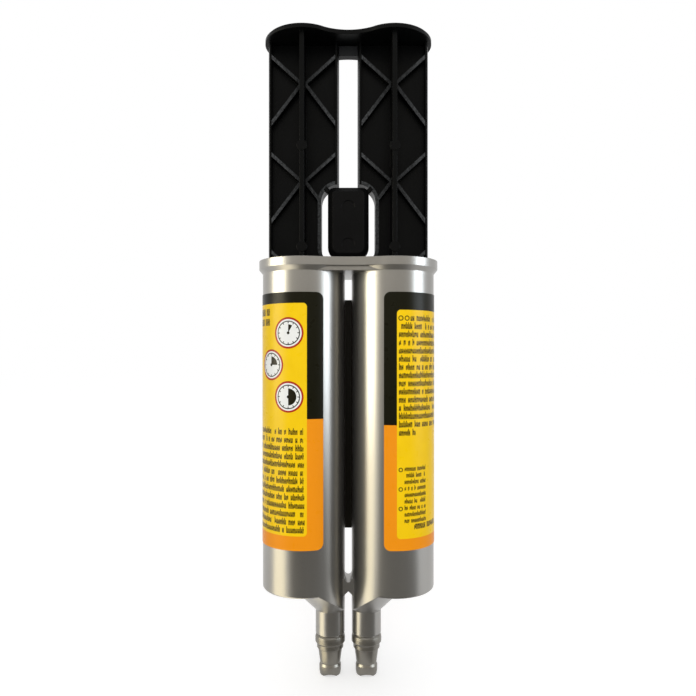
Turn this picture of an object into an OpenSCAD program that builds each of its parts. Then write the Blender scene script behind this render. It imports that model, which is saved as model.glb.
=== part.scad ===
// Twin-barrel epoxy syringe, standing on its snap-off tips
// X runs across the two barrels, -Y is the side the stored cap shows on, +Z points at the thumb pad

/* [Barrels] */
// Bore diameter of each barrel
bore_d = 18; // [14:0.5:24]
// Wall thickness of a barrel
barrel_wall = 1.2; // [0.8:0.1:1.8]
// Open slit between the two barrels
barrel_gap = 1.7; // [1.2:0.1:3]
// Height of a barrel, from its flat bottom to the flange face
barrel_h = 80.3; // [66:0.1:110]
// Thickness of the closed bottom
floor_t = 1.4; // [1:0.1:2.5]
// Rounding of the bottom edge
bottom_edge_r = 0.6; // [0.2:0.1:1]
// Lead-in chamfer at the mouth of a bore
mouth_chamfer = 0.4; // [0.2:0.1:0.6]
// Height of the bridge that ties the barrels at the bottom
bridge_h = 2.2; // [1.6:0.1:6]
// How far the bridge reaches below the barrel bottoms
bridge_drop = 0.6; // [0.4:0.1:2]
// Depth of the bridge, front to back
bridge_depth = 6.4; // [3:0.1:7]

/* [Flange] */
// Thickness of the flange edge
flange_t = 2; // [1.2:0.1:4]
// How far the flange stands out from a barrel
flange_reach = 0.9; // [0.5:0.1:3]
// Height of the bevel under the flange edge
flange_bevel_h = 1.1; // [0.5:0.1:2]
// Depth of the flange taken in at the waist, on each side
flange_waist_in = 1.35; // [0.8:0.05:3]

/* [Nozzles] */
// Outer diameter of a nozzle
nozzle_d = 7.26; // [6:0.02:9]
// How far a nozzle stands in from its barrel's side of the slit
nozzle_inset = 0.05; // [0.05:0.05:1]
// Outlet bore through a nozzle
outlet_d = 3.2; // [2:0.1:4]
// Height of the funnel shoulder above a nozzle
funnel_h = 5.8; // [3:0.1:8]
// Length of a nozzle from its funnel to the break groove
nozzle_l = 6.15; // [3:0.05:15]
// Depth of the break groove between nozzle and tip
groove_depth = 0.35; // [0.2:0.05:0.8]

/* [Snap-off tips] */
// Length of a tip, from the break groove to its end
tip_l = 9.95; // [8:0.05:14]
// How far the tip's bead stands out from the nozzle
bead_reach = 0.09; // [0:0.01:0.4]
// Radius of the collar below the bead
tip_collar_r = 3.3; // [3.1:0.05:3.5]
// Radius at the upper end of the tapered body
tip_body_r = 3; // [2.6:0.05:3.1]
// Radius at the lower end of the tapered body
tip_neck_r = 2.55; // [2.2:0.05:2.65]
// Depth of the fine groove above the foot
tip_groove = 0.1; // [0.05:0.05:0.2]
// Radius of the foot bead
tip_foot_r = 2.7; // [2.5:0.05:3]
// Width of the hollow across the tip's end
scallop_w = 3.1; // [2:0.1:3.6]
// Depth of the hollow across the tip's end
scallop_depth = 0.55; // [0.3:0.05:0.9]
// Wall left at the closed end of the tip
tip_wall = 3.4; // [2:0.1:5]

/* [Plunger] */
// Travel of the plunger from full to empty
stroke = 49.1; // [30:0.1:51]
// Height of the thumb pad's underside above the flange face
pad_lift = 53.9; // [53:0.1:70]
// Thickness of the thumb pad
pad_t = 1.15; // [0.8:0.05:3]
// Radius of each round end of the pad
pad_r = 9.6; // [8.8:0.1:12]
// Depth of the pad taken in at the waist, on each side
pad_waist_in = 3.1; // [1:0.1:5]
// Rounding of the pad's upper edge
pad_edge = 0.3; // [0.1:0.05:0.5]
// Running gap between a shaft and its bore
shaft_gap = 0.25; // [0.15:0.05:0.6]
// Thickness of the flat web in each shaft
web_t = 1.3; // [0.8:0.1:2]
// Thickness of the long rib up the middle of a shaft
rib_t = 1.1; // [0.8:0.1:2]
// How far the long rib's edge stays inside the shaft's round outline
rib_setback = 0.6; // [0.3:0.1:1.5]
// Thickness of the side walls of a shaft
side_t = 0.9; // [0.7:0.1:1.5]
// Full depth of the side walls and braces, front to back
side_depth = 5.5; // [3:0.1:7]
// Thickness of a brace
brace_t = 0.8; // [0.6:0.1:1.5]
// Rise of the upper brace from the rib to the side wall
brace_rise = 7; // [4:0.1:9]
// Drop of the lower brace from the rib to the side wall
brace_drop = 10.2; // [6:0.1:12]
// Distance from one cross of braces to the next
brace_pitch = 24; // [22:0.1:40]
// Distance of the first cross below the pad
brace_first = 10.3; // [9:0.1:16]
// Diameter of the round ejector pads on the long rib
stud_d = 2.5; // [1.6:0.1:3.5]
// Distance of an ejector pad below the cross above it
stud_drop = 16.9; // [12:0.1:20]
// Height of the wall that joins the shafts under the pad
tie_wall_h = 2.45; // [1:0.05:6]
// Thickness of the disc at the foot of a shaft
disc_t = 1.2; // [0.8:0.1:3]

/* [Cap notch] */
// Width of the notch that holds the cap
notch_w = 13.3; // [12:0.1:15]
// How far the notch reaches below the flange face
notch_low = 1.1; // [0:0.1:3]
// Room in the notch above the cap
notch_room = 1.4; // [1:0.1:4]
// Rounding of the notch's corners
notch_r = 4.35; // [3:0.05:5]

/* [Cap] */
// Width of the cap
cap_w = 9.9; // [8:0.1:10.5]
// Height of the cap as stored
cap_h = 17.2; // [15:0.1:17.5]
// Thickness of the cap's plate
cap_t = 2.9; // [2.2:0.1:4.5]
// Bevel round the cap's face
cap_bevel = 1.2; // [0.4:0.1:1.6]
// Rounding of the cap's lower corners
cap_low_r = 2.6; // [1.6:0.1:4]
// Rounding of the cap's upper corners
cap_high_r = 1.6; // [1.3:0.1:4]
// Length of the cap's plugs
plug_l = 4.5; // [2:0.1:6]
// Play of a plug in the outlet, on the diameter
plug_play = 0.1; // [0.05:0.05:0.3]
// Distance of the upper plug below the cap's top
plug_below_top = 4.9; // [3:0.1:6]
// Depth of the round sink marks on the cap's face
mark_depth = 0.2; // [0.1:0.05:0.4]
// Width of the break-off tabs that hold the cap
tab_w = 1; // [0.6:0.1:1.6]
// How far a tab reaches in over the cap
tab_reach = 1.7; // [1.2:0.1:2.4]

/* [Pistons] */
// Height of a piston
piston_h = 7; // [4:0.1:9]
// Running gap between a piston and its bore
piston_gap = 0.05; // [0.02:0.01:0.1]
// Height of each sealing lip
lip_h = 1.5; // [0.8:0.1:2]
// Depth of the relief between the lips
lip_relief = 0.5; // [0.2:0.1:1]
// Diameter of the shaft's spigot in the piston
spigot_d = 6; // [4:0.1:10]
// Length of the spigot
spigot_l = 4; // [2:0.1:5]
// Play round and under the spigot
spigot_play = 0.1; // [0.05:0.05:0.3]
// Room left under an empty piston
end_gap = 0.2; // [0.1:0.1:1]

/* [Label] */
// Thickness of the wrap label
label_t = 0.12; // [0.05:0.01:0.3]
// Height of the label
label_h = 60.6; // [40:0.1:62]
// Distance from the flange face to the label
label_drop = 8.3; // [5:0.1:12]
// Angle at which the label starts on the left barrel, past its front
label_left_a = 30; // [0:1:50]
// Angle at which the label starts on the right barrel, past its front
label_right_a = 15.3; // [0:0.1:50]
// Rounding of the label's corners
label_corner_r = 1.5; // [0.5:0.1:3]

/* [Fits] */
// Clearance between pieces of different bodies that don't touch
clearance = 0.3; // [0.2:0.05:0.5]
// Overrun of cuts past a face
cut = 0.5; // [0.2:0.1:1]
// Depth by which fused features sink into each other
sink = 0.1; // [0.05:0.05:0.2]
// How far the waist of a figure-eight outline bites into its round ends
waist_bite = 0.04; // [0.02:0.01:0.1]

/* [Hidden] */
$fn = 64;
corner_fn = 32;
bore_r = bore_d / 2;
barrel_r = bore_r + barrel_wall;
barrel_x = barrel_r + barrel_gap / 2;
nozzle_r = nozzle_d / 2;
outlet_r = outlet_d / 2;
nozzle_x = nozzle_r + nozzle_inset + barrel_gap / 2;
groove_z = tip_l;
funnel_z = groove_z + nozzle_l;
bottom_z = funnel_z + funnel_h;
flange_z = bottom_z + barrel_h;
flange_r = barrel_r + flange_reach;
web_under_z = flange_z - flange_t - flange_bevel_h;
groove_r = nozzle_r - groove_depth;
shaft_r = bore_r - shaft_gap;
shaft_in_x = barrel_x - shaft_r;
pad_z = flange_z + pad_lift;
piston_z = bottom_z + floor_t + end_gap + stroke;
shaft_z = piston_z + piston_h;
shaft_h = pad_z - shaft_z;
rib_half = shaft_r - rib_setback;
side_half = side_depth / 2;
brace_run = shaft_r - side_t / 2 - rib_t / 2;
brace_count = floor((shaft_h - brace_first - brace_drop) / brace_pitch) + 1;
notch_z = flange_z - notch_low;
cap_back_y = -side_half - clearance;
cap_z = flange_z + clearance;
notch_h = cap_z + cap_h + notch_room - notch_z;
plug_r = (outlet_d - plug_play) / 2;
plug_z = [cap_z + cap_h - plug_below_top, cap_z + cap_h - plug_below_top - 2 * nozzle_x];
label_z = flange_z - label_drop - label_h;
scallop_r = (scallop_w * scallop_w / 4 + scallop_depth * scallop_depth) / (2 * scallop_depth);
bead_r = nozzle_r + bead_reach;
tip_radii = [groove_r, nozzle_r, bead_r, bead_r, tip_collar_r, tip_collar_r, tip_body_r, tip_neck_r,
    tip_neck_r - tip_groove, tip_foot_r, tip_foot_r, tip_neck_r];
tip_shares = [0, 0.04, 0.1, 0.19, 0.24, 0.34, 0.36, 0.69, 0.72, 0.78, 0.92, 1];

// Figure-eight outline: two round ends joined by a concave waist on each side
module eight(x, r, waist) {
    inner_r = r - waist_bite;
    hollow_r = (waist * waist + x * x - inner_r * inner_r) / (2 * (inner_r - waist));
    hollow_y = waist + hollow_r;
    meet_share = (r - waist_bite / 2) / (inner_r + hollow_r);
    meet = [x - x * meet_share, hollow_y * meet_share];
    for (side = [-1, 1])
        translate([side * x, 0])
            circle(r);
    difference() {
        polygon([
            [meet[0], meet[1]], [-meet[0], meet[1]], [-x, 0],
            [-meet[0], -meet[1]], [meet[0], -meet[1]], [x, 0]
        ]);
        for (side = [-1, 1])
            translate([0, side * hollow_y])
                circle(hollow_r, $fn = 4 * $fn);
    }
}

// Rectangle with four round corners, its lower edge on the X axis
module round_box(w, h, low_r, high_r) {
    for (side = [-1, 1]) {
        translate([side * (w / 2 - low_r), low_r])
            circle(low_r);
        translate([side * (w / 2 - high_r), h - high_r])
            circle(high_r);
    }
    polygon([
        [-w / 2 + low_r, 0], [w / 2 - low_r, 0], [w / 2, low_r], [w / 2, h - high_r],
        [w / 2 - high_r, h], [-w / 2 + high_r, h], [-w / 2, h - high_r], [-w / 2, low_r]
    ]);
}

// Stands a flat outline up, so that its own Y becomes Z, from depth y0 to y1
module stand(y0, y1) {
    translate([0, y1, 0])
        rotate([90, 0, 0])
            linear_extrude(height = y1 - y0)
                children();
}

// Outside of one barrel, with the rounded bottom edge
module barrel_body() {
    rotate_extrude() {
        square([barrel_r - bottom_edge_r, barrel_h]);
        translate([0, bottom_edge_r])
            square([barrel_r, barrel_h - bottom_edge_r]);
        translate([barrel_r - bottom_edge_r, bottom_edge_r])
            intersection() {
                circle(bottom_edge_r, $fn = corner_fn);
                translate([-bottom_edge_r, -bottom_edge_r])
                    square(2 * bottom_edge_r);
            }
    }
}

// Funnel shoulder: a cone on the nozzle's axis, trimmed by the barrel's own outline
module funnel(side) {
    intersection() {
        translate([side * barrel_x, 0, funnel_z])
            cylinder(r = barrel_r, h = funnel_h + floor_t);
        translate([side * nozzle_x, 0, funnel_z])
            cylinder(r1 = nozzle_r, r2 = nozzle_r + funnel_h + floor_t, h = funnel_h + floor_t);
    }
}

// Nozzle with the upper half of the break groove at its end
module nozzle(side) {
    translate([side * nozzle_x, 0, groove_z]) {
        cylinder(r1 = groove_r, r2 = nozzle_r, h = groove_depth);
        translate([0, 0, groove_depth])
            cylinder(r = nozzle_r, h = nozzle_l + funnel_h - groove_depth + sink);
    }
}

// Flange with its bevel, and the web under its waist that closes the slit
module flange() {
    translate([0, 0, flange_z - flange_t])
        linear_extrude(height = flange_t)
            eight(barrel_x, flange_r, flange_r - flange_waist_in);
    for (side = [-1, 1])
        translate([side * barrel_x, 0, web_under_z])
            cylinder(r1 = barrel_r, r2 = flange_r, h = flange_bevel_h);
    translate([0, 0, web_under_z])
        linear_extrude(height = flange_bevel_h + sink)
            eight(barrel_x, barrel_r, flange_r - flange_waist_in - flange_reach);
}

// Bridge between the barrel bottoms, with a round window end above and a notch below
module bridge() {
    reach = barrel_gap / 2 + barrel_wall;
    stand(-bridge_depth / 2, bridge_depth / 2)
        difference() {
            translate([-reach, bottom_z - bridge_drop - reach])
                square([2 * reach, bridge_h + reach + barrel_gap / 2]);
            translate([0, bottom_z - bridge_drop + bridge_h + barrel_gap / 2])
                circle(barrel_gap / 2, $fn = corner_fn);
            polygon([
                [0, bottom_z - bridge_drop],
                [reach + cut, bottom_z - bridge_drop - reach - cut],
                [-reach - cut, bottom_z - bridge_drop - reach - cut]
            ]);
        }
}

module twin_barrel() {
    color("silver")
        difference() {
            union() {
                for (side = [-1, 1]) {
                    translate([side * barrel_x, 0, bottom_z])
                        barrel_body();
                    funnel(side);
                    nozzle(side);
                }
                flange();
                bridge();
            }
            for (side = [-1, 1]) {
                translate([side * barrel_x, 0, bottom_z + floor_t])
                    cylinder(r = bore_r, h = barrel_h);
                translate([side * barrel_x, 0, flange_z - mouth_chamfer])
                    cylinder(r1 = bore_r, r2 = bore_r + mouth_chamfer + cut, h = mouth_chamfer + cut);
                translate([side * nozzle_x, 0, groove_z - cut])
                    cylinder(r = outlet_r, h = bottom_z + floor_t - groove_z + 2 * cut, $fn = corner_fn);
            }
        }
}

// Snap-off tip: bead, collar, tapered body, fine groove and foot, closed at its end
module tip(side) {
    color("silver")
        translate([side * nozzle_x, 0, 0])
            difference() {
                rotate_extrude()
                    polygon([
                        [0, tip_l],
                        for (i = [0 : len(tip_shares) - 1])
                            [tip_radii[i], tip_l * (1 - tip_shares[i])],
                        [0, 0]
                    ]);
                translate([0, 0, tip_wall])
                    cylinder(r = outlet_r, h = tip_l, $fn = corner_fn);
                translate([0, 0, scallop_depth - scallop_r])
                    rotate([90, 0, 0])
                        cylinder(r = scallop_r, h = 2 * tip_foot_r + 2 * cut, center = true);
            }
}

module tip_left() {
    tip(-1);
}

module tip_right() {
    tip(1);
}

// Outline of the cap notch, grown by a wall
module notch_outline(wall) {
    translate([0, notch_z - wall])
        round_box(notch_w + 2 * wall, notch_h + 2 * wall, notch_r + wall, notch_r + wall);
}

// One brace, a slanted rib between the long rib and a side wall
module brace(side, rise) {
    start_x = rib_t / 2 - sink;
    slope = rise / brace_run;
    half = brace_t / 2 * sqrt(1 + slope * slope);
    end_x = shaft_r - side_t / 2;
    end_z = slope * (end_x - start_x);
    polygon([
        [side * start_x, -half], [side * end_x, end_z - half],
        [side * end_x, end_z + half], [side * start_x, half]
    ]);
}

// All braces of one shaft, as a flat outline
module braces() {
    for (row = [0 : brace_count - 1])
        translate([0, pad_z - brace_first - row * brace_pitch])
            for (side = [-1, 1]) {
                brace(side, brace_rise);
                brace(side, -brace_drop);
            }
}

// One shaft about its own axis, before the notch is cut
module shaft_body() {
    translate([-shaft_r + side_t / 2, -web_t / 2, shaft_z])
        cube([2 * shaft_r - side_t, web_t, shaft_h + sink]);
    translate([-rib_t / 2, -rib_half, shaft_z])
        cube([rib_t, 2 * rib_half, shaft_h + sink]);
    difference() {
        intersection() {
            translate([0, 0, shaft_z])
                cylinder(r = shaft_r, h = shaft_h + sink);
            translate([-shaft_r, -side_half, shaft_z])
                cube([2 * shaft_r, side_depth, shaft_h + sink]);
        }
        translate([-shaft_r + side_t, -side_half - cut, shaft_z - cut])
            cube([2 * (shaft_r - side_t), side_depth + 2 * cut, shaft_h + 2 * cut + sink]);
    }
    stand(-side_half, side_half)
        braces();
    for (row = [0 : brace_count - 1], face = [-1, 1])
        if (brace_first + row * brace_pitch + stud_drop < shaft_h - stud_d)
            translate([0, face * rib_half, pad_z - brace_first - row * brace_pitch - stud_drop])
                rotate([90, 0, 0])
                    cylinder(d = stud_d, h = 2 * sink, center = true, $fn = corner_fn);
    translate([0, 0, shaft_z])
        cylinder(r = shaft_r, h = disc_t);
    translate([0, 0, shaft_z - spigot_l])
        cylinder(d = spigot_d, h = spigot_l + sink);
}

// Rim of the notch in the shafts, at the depth of the side walls
module notch_rim() {
    intersection() {
        stand(-side_half, side_half)
            difference() {
                notch_outline(side_t);
                notch_outline(0);
            }
        union()
            for (side = [-1, 1])
                translate([side * barrel_x, 0, shaft_z])
                    cylinder(r = shaft_r, h = shaft_h);
    }
}

// Break-off tabs, from the shoulders of the notch to behind the cap's upper corners
module cap_tabs() {
    shoulder_x = notch_w / 2 - notch_r;
    shoulder_z = notch_z + notch_h - notch_r;
    for (side = [-1, 1])
        translate([side * shoulder_x, 0, shoulder_z])
            rotate([0, -side * 45, 0])
                translate([
                    side > 0 ? notch_r - tab_reach : -notch_r - side_t / 2,
                    cap_back_y, -tab_w / 2
                ])
                    cube([tab_reach + side_t / 2, web_t, tab_w]);
}

// Thumb pad with a bevelled upper edge
module thumb_pad() {
    waist = pad_r - pad_waist_in;
    translate([0, 0, pad_z])
        linear_extrude(height = pad_t - pad_edge)
            eight(barrel_x, pad_r, waist);
    translate([0, 0, pad_z + pad_t - pad_edge])
        linear_extrude(height = pad_edge)
            eight(barrel_x, pad_r - pad_edge, waist - pad_edge);
}

module plunger() {
    color([0.06, 0.06, 0.065]) {
        difference() {
            for (side = [-1, 1])
                translate([side * barrel_x, 0, 0])
                    shaft_body();
            stand(-bore_r, bore_r)
                notch_outline(0);
        }
        notch_rim();
        cap_tabs();
        thumb_pad();
        translate([-shaft_in_x - side_t / 2, -web_t / 2, pad_z - tie_wall_h])
            cube([2 * shaft_in_x + side_t, web_t, tie_wall_h + sink]);
    }
}

// Piston with two sealing lips and a socket for the shaft's spigot
module piston(side) {
    lip_r = bore_r - piston_gap;
    waist_r = lip_r - lip_relief;
    socket_r = spigot_d / 2 + spigot_play;
    socket_z = piston_h - spigot_l - spigot_play;
    color("ivory")
        translate([side * barrel_x, 0, piston_z])
            rotate_extrude()
                polygon([
                    [0, 0], [waist_r, 0], [lip_r, lip_relief], [lip_r, lip_h],
                    [waist_r, lip_h + lip_relief], [waist_r, piston_h - lip_h - lip_relief],
                    [lip_r, piston_h - lip_h], [lip_r, piston_h],
                    [socket_r, piston_h], [socket_r, socket_z], [0, socket_z]
                ]);
}

module piston_left() {
    piston(-1);
}

module piston_right() {
    piston(1);
}

// Cap plate, as a flat outline
module cap_outline(inset) {
    translate([0, cap_z + inset])
        round_box(cap_w - 2 * inset, cap_h - 2 * inset, cap_low_r - inset, cap_high_r - inset, $fn = corner_fn);
}

// Double closure, stored on its side with its two plugs in the notch
module cap() {
    color([0.05, 0.05, 0.055])
        difference() {
            union() {
                stand(cap_back_y - cap_t + cap_bevel, cap_back_y)
                    cap_outline(0);
                hull() {
                    stand(cap_back_y - cap_t + cap_bevel, cap_back_y - cap_t + cap_bevel + sink)
                        cap_outline(0);
                    stand(cap_back_y - cap_t, cap_back_y - cap_t + sink)
                        cap_outline(cap_bevel);
                }
                for (z = plug_z)
                    translate([0, cap_back_y - sink, z])
                        rotate([-90, 0, 0]) {
                            cylinder(r = plug_r, h = plug_l - plug_r / 4 + sink, $fn = corner_fn);
                            translate([0, 0, plug_l - plug_r / 4 + sink])
                                cylinder(r1 = plug_r, r2 = plug_r * 3 / 4, h = plug_r / 4, $fn = corner_fn);
                        }
            }
            for (z = plug_z)
                translate([0, cap_back_y - cap_t - cut, z])
                    rotate([-90, 0, 0])
                        cylinder(r = plug_r, h = cut + mark_depth, $fn = corner_fn);
        }
}

// Plan of the wrap label: round both barrels' outer sides and flat across their backs
module label_plan() {
    for (side = [-1, 1]) {
        start_a = side < 0 ? label_left_a : label_right_a;
        far = 2 * barrel_r;
        translate([side * barrel_x, 0])
            difference() {
                circle(barrel_r + label_t);
                circle(barrel_r);
                polygon([
                    [0, 0],
                    [-side * far * sin(start_a), -far * cos(start_a)],
                    [-side * far, -far],
                    [-side * far, far],
                    [0, far]
                ]);
            }
    }
    translate([-barrel_x, barrel_r])
        square([2 * barrel_x, label_t]);
}

// Cuts a round corner on the label's front edge, at the upper (1) or lower (-1) end
module label_corner_cut(side, end) {
    start_a = side < 0 ? label_left_a : label_right_a;
    edge_x = -side * (barrel_r + label_t / 2) * sin(start_a);
    edge_z = end > 0 ? label_z + label_h : label_z;
    translate([side * barrel_x + edge_x, -barrel_r / 2, edge_z])
        rotate([90, 0, 0])
            linear_extrude(height = barrel_r)
                difference() {
                    translate([side > 0 ? -cut : -label_corner_r, end > 0 ? -label_corner_r : -cut])
                        square(label_corner_r + cut);
                    translate([side * label_corner_r, -end * label_corner_r])
                        circle(label_corner_r, $fn = corner_fn);
                }
}

module wrap_label() {
    color("gold")
        difference() {
            translate([0, 0, label_z])
                linear_extrude(height = label_h)
                    label_plan();
            for (side = [-1, 1], end = [-1, 1])
                label_corner_cut(side, end);
        }
}

twin_barrel();
wrap_label();
plunger();
piston_left();
piston_right();
tip_left();
tip_right();
cap();
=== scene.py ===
import collections
import math
import bpy
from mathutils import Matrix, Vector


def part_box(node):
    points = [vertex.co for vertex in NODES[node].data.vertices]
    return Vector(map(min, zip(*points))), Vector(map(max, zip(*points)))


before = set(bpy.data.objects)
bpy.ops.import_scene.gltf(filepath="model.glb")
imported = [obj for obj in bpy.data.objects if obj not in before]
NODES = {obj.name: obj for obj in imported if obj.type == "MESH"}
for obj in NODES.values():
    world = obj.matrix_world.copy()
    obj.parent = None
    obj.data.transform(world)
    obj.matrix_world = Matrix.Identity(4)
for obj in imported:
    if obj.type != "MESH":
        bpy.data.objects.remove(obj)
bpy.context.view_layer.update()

SCENE = bpy.context.scene
# Millimetres in a metre
MM = 1000.0
WHITE = (1.0, 1.0, 1.0)

# Camera at the photograph's angle, level and in front: place and near limit in metres, lens and sensor in
# millimetres, and shift as a share of the frame
CAMERA_PLACE = (-0.00008, -0.15625, 0.07795)
CAMERA_NEAR = 0.01
CAMERA_LENS = 32.33
SENSOR_W = 36.0
CAMERA_SHIFT = 0.0172


def corners_mm(node):
    """Lowest and highest corner of a CAD node at rest, in millimetres."""
    return [[v * MM for v in corner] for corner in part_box(node)]


# Sizes that the finishes follow, from the frame, in millimetres
piston_low, piston_high = corners_mm("piston_right")
label_low, label_high = corners_mm("wrap_label")
BARREL_X = (piston_low[0] + piston_high[0]) / 2
FILM_R = label_high[0] - BARREL_X
LABEL_TOP = label_high[2]
LABEL_H = label_high[2] - label_low[2]
PLUNGER_TOP = corners_mm("plunger")[1][2]


def add_camera():
    cam = bpy.data.cameras.new("camera")
    cam.sensor_width = SENSOR_W
    cam.lens = CAMERA_LENS
    cam.shift_y = CAMERA_SHIFT
    cam.clip_start = CAMERA_NEAR
    obj = bpy.data.objects.new("camera", cam)
    obj.location = CAMERA_PLACE
    obj.rotation_euler = (math.pi / 2, 0, 0)
    SCENE.collection.objects.link(obj)
    SCENE.camera = obj


class Value:
    """A value in a node tree, so that a formula can be written as a formula."""

    def __init__(self, tree, socket):
        self.tree = tree
        self.socket = socket

    def op(self, name, *others):
        node = self.tree.nodes.new("ShaderNodeMath")
        node.operation = name
        for i, v in enumerate((self,) + others):
            if isinstance(v, Value):
                self.tree.links.new(v.socket, node.inputs[i])
            else:
                node.inputs[i].default_value = v
        return Value(self.tree, node.outputs[0])

    def __add__(self, o):
        return self.op("ADD", o)

    def __sub__(self, o):
        return self.op("SUBTRACT", o)

    def __mul__(self, o):
        return self.op("MULTIPLY", o)

    def __truediv__(self, o):
        return self.op("DIVIDE", o)

    def __neg__(self):
        return self.op("MULTIPLY", -1.0)

    def gt(self, o):
        return self.op("GREATER_THAN", o)

    def lt(self, o):
        return self.op("LESS_THAN", o)

    def min(self, o):
        return self.op("MINIMUM", o)

    def max(self, o):
        return self.op("MAXIMUM", o)

    def abs(self):
        return self.op("ABSOLUTE")

    def floor(self):
        return self.op("FLOOR")

    def fract(self):
        return self.op("FRACT")

    def hypot(self, o):
        return (self * self + o * o).op("SQRT")

    def atan2(self, o):
        return self.op("ARCTAN2", o)

    def inverse(self):
        """1 where this value is 0, and 0 where it is 1."""
        return self.op("MULTIPLY_ADD", -1.0, 1.0)

    def pick(self, a, b):
        """a where this value is 1, b where it is 0."""
        if isinstance(a, Value):
            return self * a + self.inverse() * b
        if isinstance(b, Value):
            return self * a + self.inverse() * b
        return self.op("MULTIPLY_ADD", a - b, b)


def between(value, low, high):
    return value.gt(low) * value.lt(high)


def new_material(name):
    material = bpy.data.materials.new(name)
    material.use_nodes = True
    tree = material.node_tree
    return material, tree, tree.nodes["Principled BSDF"]


def object_mm(tree):
    """The piece's own coordinates in millimetres, as a vector socket."""
    coord = tree.nodes.new("ShaderNodeTexCoord")
    scaled = tree.nodes.new("ShaderNodeVectorMath")
    scaled.operation = "SCALE"
    scaled.inputs["Scale"].default_value = MM
    tree.links.new(coord.outputs["Object"], scaled.inputs[0])
    return scaled.outputs[0]


def xyz(tree, vec):
    """The x, y and z of a vector socket."""
    split = tree.nodes.new("ShaderNodeSeparateXYZ")
    tree.links.new(vec, split.inputs[0])
    return [Value(tree, s) for s in split.outputs]


def vector(tree, *values):
    node = tree.nodes.new("ShaderNodeCombineXYZ")
    for i, v in enumerate(values):
        if isinstance(v, Value):
            tree.links.new(v.socket, node.inputs[i])
        else:
            node.inputs[i].default_value = v
    return node.outputs[0]


def noise(tree, vec, scale, detail=2.0, rough=0.5, upwards=1.0):
    """Cloudy texture. Where upwards is under 1, it is drawn out along the piece."""
    if upwards != 1.0:
        mapping = tree.nodes.new("ShaderNodeMapping")
        mapping.inputs["Scale"].default_value = (1.0, 1.0, upwards)
        tree.links.new(vec, mapping.inputs[0])
        vec = mapping.outputs[0]
    node = tree.nodes.new("ShaderNodeTexNoise")
    node.inputs["Scale"].default_value = scale
    node.inputs["Detail"].default_value = detail
    node.inputs["Roughness"].default_value = rough
    tree.links.new(vec, node.inputs["Vector"])
    return Value(tree, node.outputs[0])


def dice(tree, x, y, seed, span=(0.0, 1.0)):
    """A random value within a span that stays the same all over a cell, which x and y number."""
    node = tree.nodes.new("ShaderNodeTexWhiteNoise")
    node.noise_dimensions = "3D"
    tree.links.new(vector(tree, x, y, seed), node.inputs["Vector"])
    value = Value(tree, node.outputs["Value"])
    return value.op("MULTIPLY_ADD", span[1] - span[0], span[0])


def mix(tree, fac, a, b):
    """Colour a where fac is 0, b where it is 1. The sockets numbered 6, 7 and 2 are those for colours."""
    node = tree.nodes.new("ShaderNodeMix")
    node.data_type = "RGBA"
    tree.links.new(fac.socket, node.inputs["Factor"])
    for i, v in ((6, a), (7, b)):
        if isinstance(v, tuple):
            node.inputs[i].default_value = v + (1.0,)
        else:
            tree.links.new(v, node.inputs[i])
    return node.outputs[2]


def remap(tree, val, span, to=(0.0, 1.0)):
    """Carries val from one span to another, and holds it at the ends."""
    node = tree.nodes.new("ShaderNodeMapRange")
    for i, v in enumerate(span + to, 1):
        node.inputs[i].default_value = v
    tree.links.new(val.socket, node.inputs[0])
    return Value(tree, node.outputs[0])


EDGE_SAMPLES = 4


def relief(tree, shader, height, strength, distance, edge_r=0.0):
    """Bump, over edges that are softened by edge_r where it is given. Lengths are in metres."""
    node = tree.nodes.new("ShaderNodeBump")
    node.inputs["Strength"].default_value = strength
    node.inputs["Distance"].default_value = distance
    tree.links.new(height.socket, node.inputs["Height"])
    tree.links.new(node.outputs[0], shader.inputs["Normal"])
    if edge_r:
        edge = tree.nodes.new("ShaderNodeBevel")
        edge.samples = EDGE_SAMPLES
        edge.inputs["Radius"].default_value = edge_r
        tree.links.new(edge.outputs[0], node.inputs["Normal"])


# Darkest and palest colour of each moulded plastic
BARREL_SILVER = ((0.27, 0.261, 0.245), (0.34, 0.331, 0.315))
TIP_SILVER = ((0.165, 0.156, 0.135), (0.225, 0.213, 0.19))
PLUNGER_BLACK = ((0.0016, 0.0018, 0.0018), (0.0034, 0.0036, 0.0037))
CAP_BLACK = ((0.002, 0.002, 0.0021), (0.0036, 0.0036, 0.0038))
PISTON_NATURAL = ((0.72, 0.69, 0.6), (0.82, 0.8, 0.72))

# Scuffs on silver: the noise that they start at, how far they show, their share of the darkest colour, and
# the roughness that they add
SCUFF_FROM = 0.71
SCUFF_SHOWS = 0.3
SCUFF_SHARE = 0.4
SCUFF_ROUGHER = 0.08


def silver(name, low, high, metallic, rough):
    """Pigmented plastic: fine flakes, soft tonal drift, faint flow lines and a few scuffs."""
    material, t, shader = new_material(name)
    vec = object_mm(t)
    drift = noise(t, vec, scale=0.05, upwards=0.35)
    flake = noise(t, vec, scale=9.0, detail=1.0)
    flow = noise(t, vec, scale=0.35, upwards=0.08)
    scuff = noise(t, vec, scale=1.1, detail=5.0, rough=0.7).gt(SCUFF_FROM)
    tone = remap(t, drift * 0.6 + flake * 0.25 + flow * 0.15, span=(0.35, 0.65))
    base = mix(t, tone, low, high)
    base = mix(t, scuff * SCUFF_SHOWS, base, tuple(v * SCUFF_SHARE for v in low))
    t.links.new(base, shader.inputs["Base Color"])
    shader.inputs["Metallic"].default_value = metallic
    gloss = remap(t, drift * 0.5 + flake * 0.5, span=(0.3, 0.7), to=(rough - 0.03, rough + 0.04))
    t.links.new((gloss + scuff * SCUFF_ROUGHER).socket, shader.inputs["Roughness"])
    relief(t, shader, flake * 0.8 + flow * 0.2, strength=0.08, distance=0.00004, edge_r=0.0002)
    return material


# Share of the usual gloss that the black plastics have
BLACK_SPECULAR = 0.07


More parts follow.
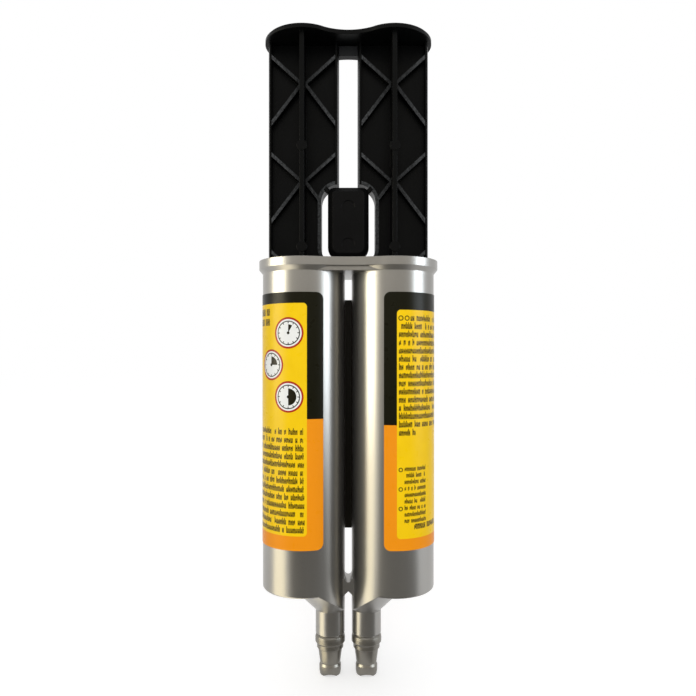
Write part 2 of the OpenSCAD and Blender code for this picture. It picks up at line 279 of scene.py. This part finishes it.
def black(name, low, high, rough):
    """Black moulded plastic with a faint cloud, a fine grain and rubbed patches."""
    material, t, shader = new_material(name)
    vec = object_mm(t)
    cloud = noise(t, vec, scale=0.12, detail=3.0)
    grain = noise(t, vec, scale=7.0)
    scuff = noise(t, vec, scale=1.6, detail=4.0, rough=0.65, upwards=0.12)
    base = mix(t, remap(t, cloud * 0.6 + grain * 0.4, span=(0.35, 0.7)), low, high)
    t.links.new(base, shader.inputs["Base Color"])
    gloss = remap(t, scuff * 0.6 + cloud * 0.4, span=(0.35, 0.68), to=(rough - 0.05, rough + 0.09))
    t.links.new(gloss.socket, shader.inputs["Roughness"])
    shader.inputs["Specular IOR Level"].default_value = BLACK_SPECULAR
    relief(t, shader, grain * 0.5 + scuff * 0.5, strength=0.15, distance=0.00006, edge_r=0.00025)
    return material, t, shader, base, vec


# Brace faces, in millimetres: their distance from the middle plane, how near counts as on them, and where
# they start and end beside a shaft's rib
BRACE_FACE_Y = 2.75
ON_FACE = 0.04
BRACE_IN = 0.6
BRACE_OUT = 7.8
# Tie wall between the shafts, in millimetres: half its width, and how far under the pad's top it ends
TIE_HALF = 2.35
TIE_DEPTH = 5.0
# The pad's thickness, and how far below it the painted highlights on the braces and the tie wall's painted
# light start, in millimetres
PAD_H = 1.15
PAD_CLEARANCE = 0.05
# Colour of the painted highlights on the brace faces
PAINTED_BRACE_HIGHLIGHT = (0.075, 0.078, 0.08)
# Colour of the painted light on the tie wall, and how far it shows
PAINTED_TIE_LIGHT = (0.024, 0.025, 0.026)
TIE_SHOWS = 0.7


def plunger_finish():
    """Black, with painted highlights on the brace faces, brightest at their outer ends, and painted light
    that makes the tie wall greyer.
    """
    material, t, shader, base, vec = black("plunger_plastic", *PLUNGER_BLACK, rough=0.34)
    x, y, z = xyz(t, vec)
    across = (x.abs() - BARREL_X).abs()
    under_pad = z.lt(PLUNGER_TOP - PAD_H - PAD_CLEARANCE)
    on_face = (y.abs() - BRACE_FACE_Y).abs().lt(ON_FACE) * under_pad
    on_brace = between(across, BRACE_IN, BRACE_OUT)
    highlight_streak = remap(t, noise(t, vec, scale=1.5, detail=4.0, rough=0.7), span=(0.36, 0.6), to=(0.25, 1.0))
    fade = remap(t, across, span=(BRACE_IN, BRACE_OUT), to=(0.35, 0.85))
    # Painted highlights on the brace faces, streaked and brightest at their outer ends
    base = mix(t, on_face * on_brace * highlight_streak * fade, base, PAINTED_BRACE_HIGHLIGHT)
    # Painted light on the tie wall between the shafts, below the pad
    tie = x.abs().lt(TIE_HALF) * z.gt(PLUNGER_TOP - TIE_DEPTH) * under_pad
    base = mix(t, tie * TIE_SHOWS, base, PAINTED_TIE_LIGHT)
    t.links.new(base, shader.inputs["Base Color"])
    return material


# Scatter of light in the pistons' waxy plastic, with its radius in metres for red, green and blue
SCATTER_WEIGHT = 0.15
SCATTER_RADIUS = (0.002, 0.0015, 0.001)


def natural(name, low, high):
    """Waxy unpigmented plastic."""
    material, t, shader = new_material(name)
    vec = object_mm(t)
    cloud = noise(t, vec, scale=0.2, detail=3.0)
    base = mix(t, remap(t, cloud, span=(0.3, 0.7)), low, high)
    t.links.new(base, shader.inputs["Base Color"])
    gloss = remap(t, noise(t, vec, scale=3.0), span=(0.3, 0.7), to=(0.38, 0.5))
    t.links.new(gloss.socket, shader.inputs["Roughness"])
    shader.inputs["Subsurface Weight"].default_value = SCATTER_WEIGHT
    shader.inputs["Subsurface Radius"].default_value = SCATTER_RADIUS
    shader.inputs["Subsurface Scale"].default_value = 1.0
    relief(t, shader, cloud, strength=0.1, distance=0.0001)
    return material


# Inks of the printed film
BLACK = (0.0065, 0.006, 0.001)
ORANGE = (0.88, 0.29, 0.004)
YELLOW = (0.93, 0.60, 0.001)
YELLOW_DEEP = (0.90, 0.57, 0.001)
INK = (0.012, 0.009, 0.002)
# Painted shade on the film's inner side, where it shows in the slit between the barrels
INNER_PAINTED_SHADE = (0.02, 0.0165, 0.012)
RED = (0.42, 0.022, 0.006)
PAPER = (0.84, 0.84, 0.80)
# How far the marks' ink covers the yellow, and the film's share of the usual gloss
INK_SHOWS = 0.94
FILM_SPECULAR = 0.12

# Shares of a mark's cell that its strokes take
STROKE_LEFT = (0.03, 0.40)
STROKE_RIGHT = (0.54, 0.91)
# Shares of the small letters' height: the room above them, how far up a tall stroke could go, where short
# left strokes start and right ones end, the levels of the bar and half its thickness
ASCENDER = 0.38
TALL_REACH = 0.85
LEFT_TOPS = (0.0, 0.2)
RIGHT_FEET = (0.75, 1.25)
BAR_LEVELS = (0.1, 0.9)
BAR_HALF = 0.16
# Chances that a left stroke stays short and that a cell holds a mark
SHORT_CHANCE = 0.72
MARK_CHANCE = 0.89
# Seeds of the random values
TALL_SEED, LEFT_SEED, RIGHT_SEED, BAR_SEED, MARK_SEED, RAGGED_SEED = 3.0, 5.0, 7.0, 9.0, 11.0, 13.0


def choose(default, cases):
    """The value of the case whose mask is 1, or else the default. No two masks are 1 at once."""
    value = default
    for mask, own in cases:
        if own != default:
            value = mask.op("MULTIPLY_ADD", own - default, value)
    return value


def marks(t, s, v, pitch, x_height, char, length, caps):
    """Lines of unreadable marks: s runs along a line, v down from the first line's top, in millimetres.

    A mark is two strokes joined by a bar at a random height, and some cells stay empty, as between words.
    Where caps is 1, every stroke is tall.
    """
    line = v / pitch
    row = line.floor()
    place = s / char
    cell = place.floor()
    in_cell = place.fract()
    down = line.fract() * pitch / x_height - ASCENDER
    tall = (dice(t, cell, row, TALL_SEED) + caps).gt(SHORT_CHANCE) * -TALL_REACH
    left = between(in_cell, *STROKE_LEFT) * (down - tall).gt(dice(t, cell, row, LEFT_SEED, LEFT_TOPS))
    right = between(in_cell, *STROKE_RIGHT) * (down + caps * ASCENDER).gt(0.0)
    right = right * down.lt(dice(t, cell, row, RIGHT_SEED, RIGHT_FEET))
    level = dice(t, cell, row, BAR_SEED, BAR_LEVELS)
    bar = (down - level).abs().lt(BAR_HALF) * between(in_cell, STROKE_LEFT[0], STROKE_RIGHT[1])
    word = dice(t, cell, row, MARK_SEED).lt(MARK_CHANCE)
    ragged = dice(t, row, row, RAGGED_SEED) * char
    inside = s.gt(0.0) * (s + ragged).lt(length) * v.gt(0.0) * between(down, -ASCENDER, 1.0)
    return left.max(right).max(bar) * word * inside


def ring_mark(u, v, r, half_line):
    return (u.hypot(v) - r).abs().lt(half_line)


def box_distance(u, v, half_w, half_h, r):
    """Signed distance to a rectangle with round corners."""
    qx = u.abs() - (half_w - r)
    qy = v.abs() - (half_h - r)
    return qx.max(0.0).hypot(qy.max(0.0)) + qx.max(qy).min(0.0) - r


# All sizes and places on the label are in millimetres. u is the way round the film from each barrel's front
# line, outwards, and drops are measured down from the label's top edge

# Timer dials on the left panel: places and step
DIAL_U = 3.1
DIAL_MID_U = 8.1
DIAL_MID_DROP = 17.1
DIAL_STEP = 7.5
# Radii of the red rim, the face, the ring and half its line, the ticks' inner ends, the sector and the hub
DIAL_R = 3.7
DIAL_FACE_R = 3.25
DIAL_RING_R = 2.75
DIAL_RING_HALF = 0.12
DIAL_TICK_R = 2.25
DIAL_SECTOR_R = 2.0
DIAL_HUB_R = 0.35
# Ticks round a dial, and where each starts, from the middle of the gap beside it
TICKS = 12.0
TICK_FROM = 0.42
# Shares of the dials' faces that are filled in
UPPER_SHARE = 1.0 / TICKS
MIDDLE_SHARE = 0.25
LOWER_SHARE = 0.5


def timer_dials(t, u, drop, base, on_left):
    """Three plain dials in a zigzag, each with a different share of its face filled in."""
    middle = (drop - DIAL_MID_DROP).abs().lt(DIAL_STEP / 2)
    upper = drop.lt(DIAL_MID_DROP)
    du = u - middle.pick(DIAL_MID_U, DIAL_U)
    up = middle.pick(0.0, upper.pick(-DIAL_STEP, DIAL_STEP)) + DIAL_MID_DROP - drop
    dist = du.hypot(up)
    turn = (-du).atan2(up) / (2.0 * math.pi)
    turn = turn + turn.lt(0.0)
    base = mix(t, dist.lt(DIAL_R) * on_left, base, RED)
    face = dist.lt(DIAL_FACE_R) * on_left
    base = mix(t, face, base, PAPER)
    ring = (dist - DIAL_RING_R).abs().lt(DIAL_RING_HALF)
    ticks = ((turn * TICKS).fract() - 0.5).abs().gt(TICK_FROM) * between(dist, DIAL_TICK_R, DIAL_RING_R)
    share = middle.pick(MIDDLE_SHARE, upper.pick(UPPER_SHARE, LOWER_SHARE))
    sector = turn.lt(share) * dist.lt(DIAL_SECTOR_R)
    hub = dist.lt(DIAL_HUB_R)
    return mix(t, ring.max(ticks).max(sector).max(hub) * face, base, INK)


# Edges of the yellow panels, which differ a little from left to right
PANEL_IN_RIGHT, PANEL_IN_LEFT = 0.3, -1.37
PANEL_OUT = 21.5
PANEL_TOP_RIGHT, PANEL_TOP_LEFT = 4.2, 2.6
PANEL_FOOT_RIGHT, PANEL_FOOT_LEFT = LABEL_H - 2.8, LABEL_H - 3.4
PANEL_CORNER_R = 0.9
# Drops at which the black turns to orange
SPLIT_RIGHT, SPLIT_LEFT, SPLIT_BACK = 31.2, 29.8, 41.9
# Half the film's thickness
FILM_HALF = 0.06

# A block of marks: the u where its lines start, the drop of its top, its lines' length and pitch, the height
# of small letters and the width of a letter's cell. The left panel's lines run inwards, towards the slit
Block = collections.namedtuple("Block", "start top length pitch x_height char")
MAIN = Block(start=0.75, top=5.2, length=19.0, pitch=1.92, x_height=1.15, char=0.56)
HEAD = Block(start=15.0, top=3.7, length=6.9, pitch=2.4, x_height=1.2, char=0.6)
LOW = MAIN._replace(start=17.6, top=31.9, length=18.6)
SMALL = Block(start=2.1, top=40.8, length=6.4, pitch=1.52, x_height=0.86, char=0.42)
BOLD = Block(start=4.6, top=54.0, length=9.5, pitch=3.2, x_height=1.3, char=0.5)

# Left panel: the drop that parts the head block from the low one, the height of the head's two lines, and
# the low block's foot
HEAD_PARTING = 13.0
HEAD_LINES_H = 2 * HEAD.pitch
LOW_FOOT = 56.5
# Right panel: the main block's short last line and its foot, the small block's field, and the height of the
# bold line
LAST_LINE_TOP = 32.1
LAST_LINE_END = 5.0
MAIN_FOOT = 34.0
SMALL_FIELD = (39.9, 54.5)
BOLD_LINE_H = 2.3

# Pair of round bullets at the start of the main block: u of their middle, half their distance, drop, radius,
# half their line, and the u and drop that end the place kept clear for them
PAIR_U = 2.0
PAIR_HALF = 0.75
PAIR_DROP = 6.15
PAIR_R = 0.5
PAIR_LINE_HALF = 0.12
PAIR_FIELD_U = 3.6
PAIR_FIELD_FOOT = 7.1
# Bullets beside the small block, one for every three lines: u, drop of the first step, share of a step that
# a bullet's middle lies below its start, radius, half their line, and the steps that have one
BULLET_U = 1.2
BULLET_TOP = 41.1
BULLET_STEP = 3 * SMALL.pitch
BULLET_SHARE = 0.12
BULLET_R = 0.42
BULLET_LINE_HALF = 0.11
BULLET_STEPS = (-0.05, 2.95)


def label_marks(t, u, drop, right, on_left):
    """Mask of all that is printed in ink on the yellow panels, apart from the dials."""
    head = on_left * drop.lt(HEAD_PARTING)
    low = on_left - head
    small = right * between(drop, *SMALL_FIELD)
    bold = right * drop.gt(SMALL_FIELD[1])
    blocks = ((head, HEAD), (low, LOW), (small, SMALL), (bold, BOLD))

    def size(name):
        """A size of the block that a point lies in. The right panel's main block is the default."""
        return choose(getattr(MAIN, name), [(mask, getattr(block, name)) for mask, block in blocks])

    starts = ((head, HEAD.start), (low, LOW.start), (small, -SMALL.start), (bold, -BOLD.start))
    s = on_left.pick(-u, u) + choose(-MAIN.start, starts)
    v = drop - size("top")
    text = marks(t, s, v, size("pitch"), size("x_height"), size("char"), size("length"), head)

    below_main = right * between(drop, MAIN_FOOT, SMALL_FIELD[0])
    after_last = right * between(drop, LAST_LINE_TOP, MAIN_FOOT) * u.gt(LAST_LINE_END)
    by_pair = right * drop.lt(PAIR_FIELD_FOOT) * u.lt(PAIR_FIELD_U)
    empty = below_main.max(after_last).max(by_pair).max(head * v.gt(HEAD_LINES_H))
    empty = empty.max(low * drop.gt(LOW_FOOT)).max(bold * v.gt(BOLD_LINE_H))

    step = (drop - BULLET_TOP) / BULLET_STEP
    from_bullet = (step.fract() - BULLET_SHARE) * BULLET_STEP
    bullets = ring_mark(u - BULLET_U, from_bullet, BULLET_R, BULLET_LINE_HALF)
    bullets = bullets * between(step, *BULLET_STEPS)
    pair = ring_mark((u - PAIR_U).abs() - PAIR_HALF, drop - PAIR_DROP, PAIR_R, PAIR_LINE_HALF)
    return (text * empty.inverse()).max(bullets.max(pair) * right)


def label_finish():
    """Printed film: black over orange, a yellow panel on each barrel, unreadable marks and three dials."""
    material, t, shader = new_material("label_film")
    vec = object_mm(t)
    x, y, z = xyz(t, vec)
    right = x.gt(0.0)
    on_left = right.inverse()
    out = x.abs() - BARREL_X
    back = y.gt(0.0) * out.lt(0.0)
    u = back.pick(-out + math.pi * FILM_R, out.atan2(-y) * FILM_R)
    drop = -z + LABEL_TOP

    panel_in = right.pick(PANEL_IN_RIGHT, PANEL_IN_LEFT)
    panel_top = right.pick(PANEL_TOP_RIGHT, PANEL_TOP_LEFT)
    panel_foot = right.pick(PANEL_FOOT_RIGHT, PANEL_FOOT_LEFT)
    mid_u = (panel_in + PANEL_OUT) / 2.0
    mid_drop = (panel_top + panel_foot) / 2.0
    half_w = (-panel_in + PANEL_OUT) / 2.0
    half_h = (panel_foot - panel_top) / 2.0
    panel = box_distance(u - mid_u, drop - mid_drop, half_w, half_h, PANEL_CORNER_R).lt(0.0)

    # Black above and orange below, and on the back the orange stands lower
    fronts = u.lt(PANEL_OUT)
    split = right.pick(SPLIT_RIGHT, SPLIT_LEFT)
    orange = drop.gt(split) * fronts + fronts.inverse() * drop.gt(SPLIT_BACK)
    base = mix(t, orange.max(drop.gt(panel_foot)), BLACK, ORANGE)
    tone = remap(t, noise(t, vec, scale=0.35), span=(0.3, 0.7))
    base = mix(t, panel, base, mix(t, tone, YELLOW_DEEP, YELLOW))
    ink = label_marks(t, u, drop, right, on_left) * panel
    base = mix(t, ink * INK_SHOWS, base, INK)
    base = timer_dials(t, u, drop, base, on_left)

    # The side of the film that faces the barrels is painted dark, as painted shade in the slit between them
    inner_r = FILM_R - FILM_HALF
    round_in = out.hypot(y).lt(inner_r) * back.inverse()
    flat_in = between(y, 0.0, inner_r) * out.lt(0.0)
    base = mix(t, round_in.max(flat_in), base, INNER_PAINTED_SHADE)
    t.links.new(base, shader.inputs["Base Color"])
    gloss = remap(t, noise(t, vec, scale=0.5, detail=3.0), span=(0.3, 0.7), to=(0.26, 0.36))
    t.links.new(gloss.socket, shader.inputs["Roughness"])
    shader.inputs["Specular IOR Level"].default_value = FILM_SPECULAR
    film = noise(t, vec, scale=0.8, upwards=0.3)
    relief(t, shader, film * 0.7 + ink * 0.1, strength=0.08, distance=0.00006)
    return material


def dress():
    """Gives each CAD node its finish."""
    barrel = silver("barrel_plastic", *BARREL_SILVER, metallic=0.9, rough=0.30)
    tip = silver("tip_plastic", *TIP_SILVER, metallic=0.85, rough=0.34)
    piston = natural("piston_plastic", *PISTON_NATURAL)
    cap = black("cap_plastic", *CAP_BLACK, rough=0.32)[0]
    finishes = {
        "twin_barrel": barrel, "wrap_label": label_finish(), "plunger": plunger_finish(), "cap": cap,
        "piston_left": piston, "piston_right": piston, "tip_left": tip, "tip_right": tip,
    }
    for node, material in finishes.items():
        slots = NODES[node].data.materials
        slots.clear()
        slots.append(material)


# The floor's half width in metres, its colour and roughness, and its glow for the rays that show it
FLOOR_HALF = 3.0
FLOOR_COLOUR = (0.8, 0.8, 0.8)
FLOOR_ROUGH = 0.9
FLOOR_GLOW = 0.44
# The world's strength for the rays that light the colours
WORLD_FILL = 0.70


def seen_rays(t):
    """1 for the rays that show the background: to the camera, and in gloss and glass."""
    path = t.nodes.new("ShaderNodeLightPath")
    rays = [Value(t, path.outputs[n]) for n in ("Is Camera Ray", "Is Glossy Ray", "Is Transmission Ray")]
    return rays[0].max(rays[1]).max(rays[2])


def add_floor():
    """Plain pale floor that keeps the shadow."""
    mesh = bpy.data.meshes.new("floor")
    ends = ((-1, -1), (1, -1), (1, 1), (-1, 1))
    mesh.from_pydata([(i * FLOOR_HALF, j * FLOOR_HALF, 0) for i, j in ends], [], [(0, 1, 2, 3)])
    floor = bpy.data.objects.new("floor", mesh)
    SCENE.collection.objects.link(floor)
    material, t, shader = new_material("floor")
    shader.inputs["Base Color"].default_value = FLOOR_COLOUR + (1.0,)
    shader.inputs["Roughness"].default_value = FLOOR_ROUGH
    shader.inputs["Specular IOR Level"].default_value = 0.0
    glow = t.nodes.new("ShaderNodeEmission")
    glow.inputs["Strength"].default_value = FLOOR_GLOW
    both = t.nodes.new("ShaderNodeAddShader")
    t.links.new(shader.outputs[0], both.inputs[0])
    t.links.new(glow.outputs[0], both.inputs[1])
    chosen = t.nodes.new("ShaderNodeMixShader")
    t.links.new(seen_rays(t).socket, chosen.inputs[0])
    t.links.new(shader.outputs[0], chosen.inputs[1])
    t.links.new(both.outputs[0], chosen.inputs[2])
    t.links.new(chosen.outputs[0], t.nodes["Material Output"].inputs["Surface"])
    floor.data.materials.append(material)


def add_world():
    """White where it is seen, and a softer fill for the colours, which the front lamp adds to."""
    world = bpy.data.worlds.new("studio")
    SCENE.world = world
    world.use_nodes = True
    t = world.node_tree
    sky = t.nodes["Background"]
    sky.inputs["Color"].default_value = WHITE + (1.0,)
    t.links.new(seen_rays(t).pick(1.0, WORLD_FILL).socket, sky.inputs["Strength"])


# Reflector cards, as a studio has: they show in gloss only, and light and shade nothing else. Each is a fan
# just above the floor, and may have a wall at its far end. Near radius and lift are in metres
CARD_NEAR = 0.010
CARD_LIFT = 0.0004
CARD_STEPS = 16
# Heights at which a card reaches its second and third brightness, in millimetres
HORIZON_MM = 60.0
FIELD_TOP_MM = 390.0
# Name, first and last angle from the front in degrees, far radius and height of the wall in metres,
# brightness at the floor, at HORIZON_MM and at FIELD_TOP_MM, and colour
CARDS = (
    ("front_card", -40, 68, 0.70, 0.60, (0.19, 0.60, 1.0), (1.0, 0.95, 0.86)),
    ("left_card", -84, -50, 0.48, 0.0, (3.3, 3.3, 3.3), (1.0, 0.91, 0.68)),
)


def add_card(name, first, last, far, wall, tones, colour):
    """A fan of faces round the object's middle, with a wall at its far end where wall is over 0."""
    rows = [(CARD_NEAR, CARD_LIFT), (far, CARD_LIFT)]
    if wall:
        rows.append((far, wall))
    points = []
    for step in range(CARD_STEPS + 1):
        turn = math.radians(first + (last - first) * step / CARD_STEPS)
        points += [(r * math.sin(turn), -r * math.cos(turn), z) for r, z in rows]
    n = len(rows)
    faces = []
    for step in range(CARD_STEPS):
        for k in range(n - 1):
            a = step * n + k
            faces.append((a, a + 1, a + n + 1, a + n))
    mesh = bpy.data.meshes.new(name)
    mesh.from_pydata(points, [], faces)
    card = bpy.data.objects.new(name, mesh)
    SCENE.collection.objects.link(card)
    for ray in ("visible_camera", "visible_diffuse", "visible_shadow", "visible_transmission"):
        setattr(card, ray, False)
    material, t = new_material(name)[:2]
    height = xyz(t, object_mm(t))[2]
    low, middle, top = tones
    lower = remap(t, height, span=(0.0, HORIZON_MM), to=(low, middle))
    upper = remap(t, height, span=(HORIZON_MM, FIELD_TOP_MM), to=(0.0, top - middle))
    glow = t.nodes.new("ShaderNodeEmission")
    glow.inputs["Color"].default_value = colour + (1.0,)
    t.links.new((lower + upper).socket, glow.inputs["Strength"])
    t.links.new(glow.outputs[0], t.nodes["Material Output"].inputs["Surface"])
    card.data.materials.append(material)


# The point that the lamps face, and for each lamp its name, place, width and height in metres, its power in
# watts and its colour
AIM = (0.0, 0.0, 0.08)
LAMPS = (
    ("left_light", (-0.56, -0.21, 0.16), (0.38, 0.31), 3.2, (1.0, 0.93, 0.70)),
    ("right_light", (0.56, -0.19, 0.16), (0.32, 0.31), 1.85, (0.82, 0.91, 1.0)),
    ("front_light", (0.0, -0.70, 0.22), (0.40, 0.30), 1.75, WHITE),
)


def add_lamp(name, place, size, power, colour):
    lamp = bpy.data.lights.new(name, "AREA")
    lamp.shape = "RECTANGLE"
    lamp.size, lamp.size_y = size
    lamp.energy = power
    lamp.color = colour
    obj = bpy.data.objects.new(name, lamp)
    obj.location = place
    aim = [a - p for a, p in zip(AIM, place)]
    tilt = math.atan2(math.hypot(aim[0], aim[1]), -aim[2])
    obj.rotation_euler = (tilt, 0, math.atan2(aim[1], aim[0]) - math.pi / 2)
    SCENE.collection.objects.link(obj)
    # The side lamps draw the bands on gloss, and the front one lights the colours
    obj.visible_diffuse = name == "front_light"
    obj.visible_glossy = name != "front_light"


add_camera()
dress()
add_floor()
add_world()
for card in CARDS:
    add_card(*card)
for lamp in LAMPS:
    add_lamp(*lamp)
SCENE.view_settings.view_transform = "Standard"
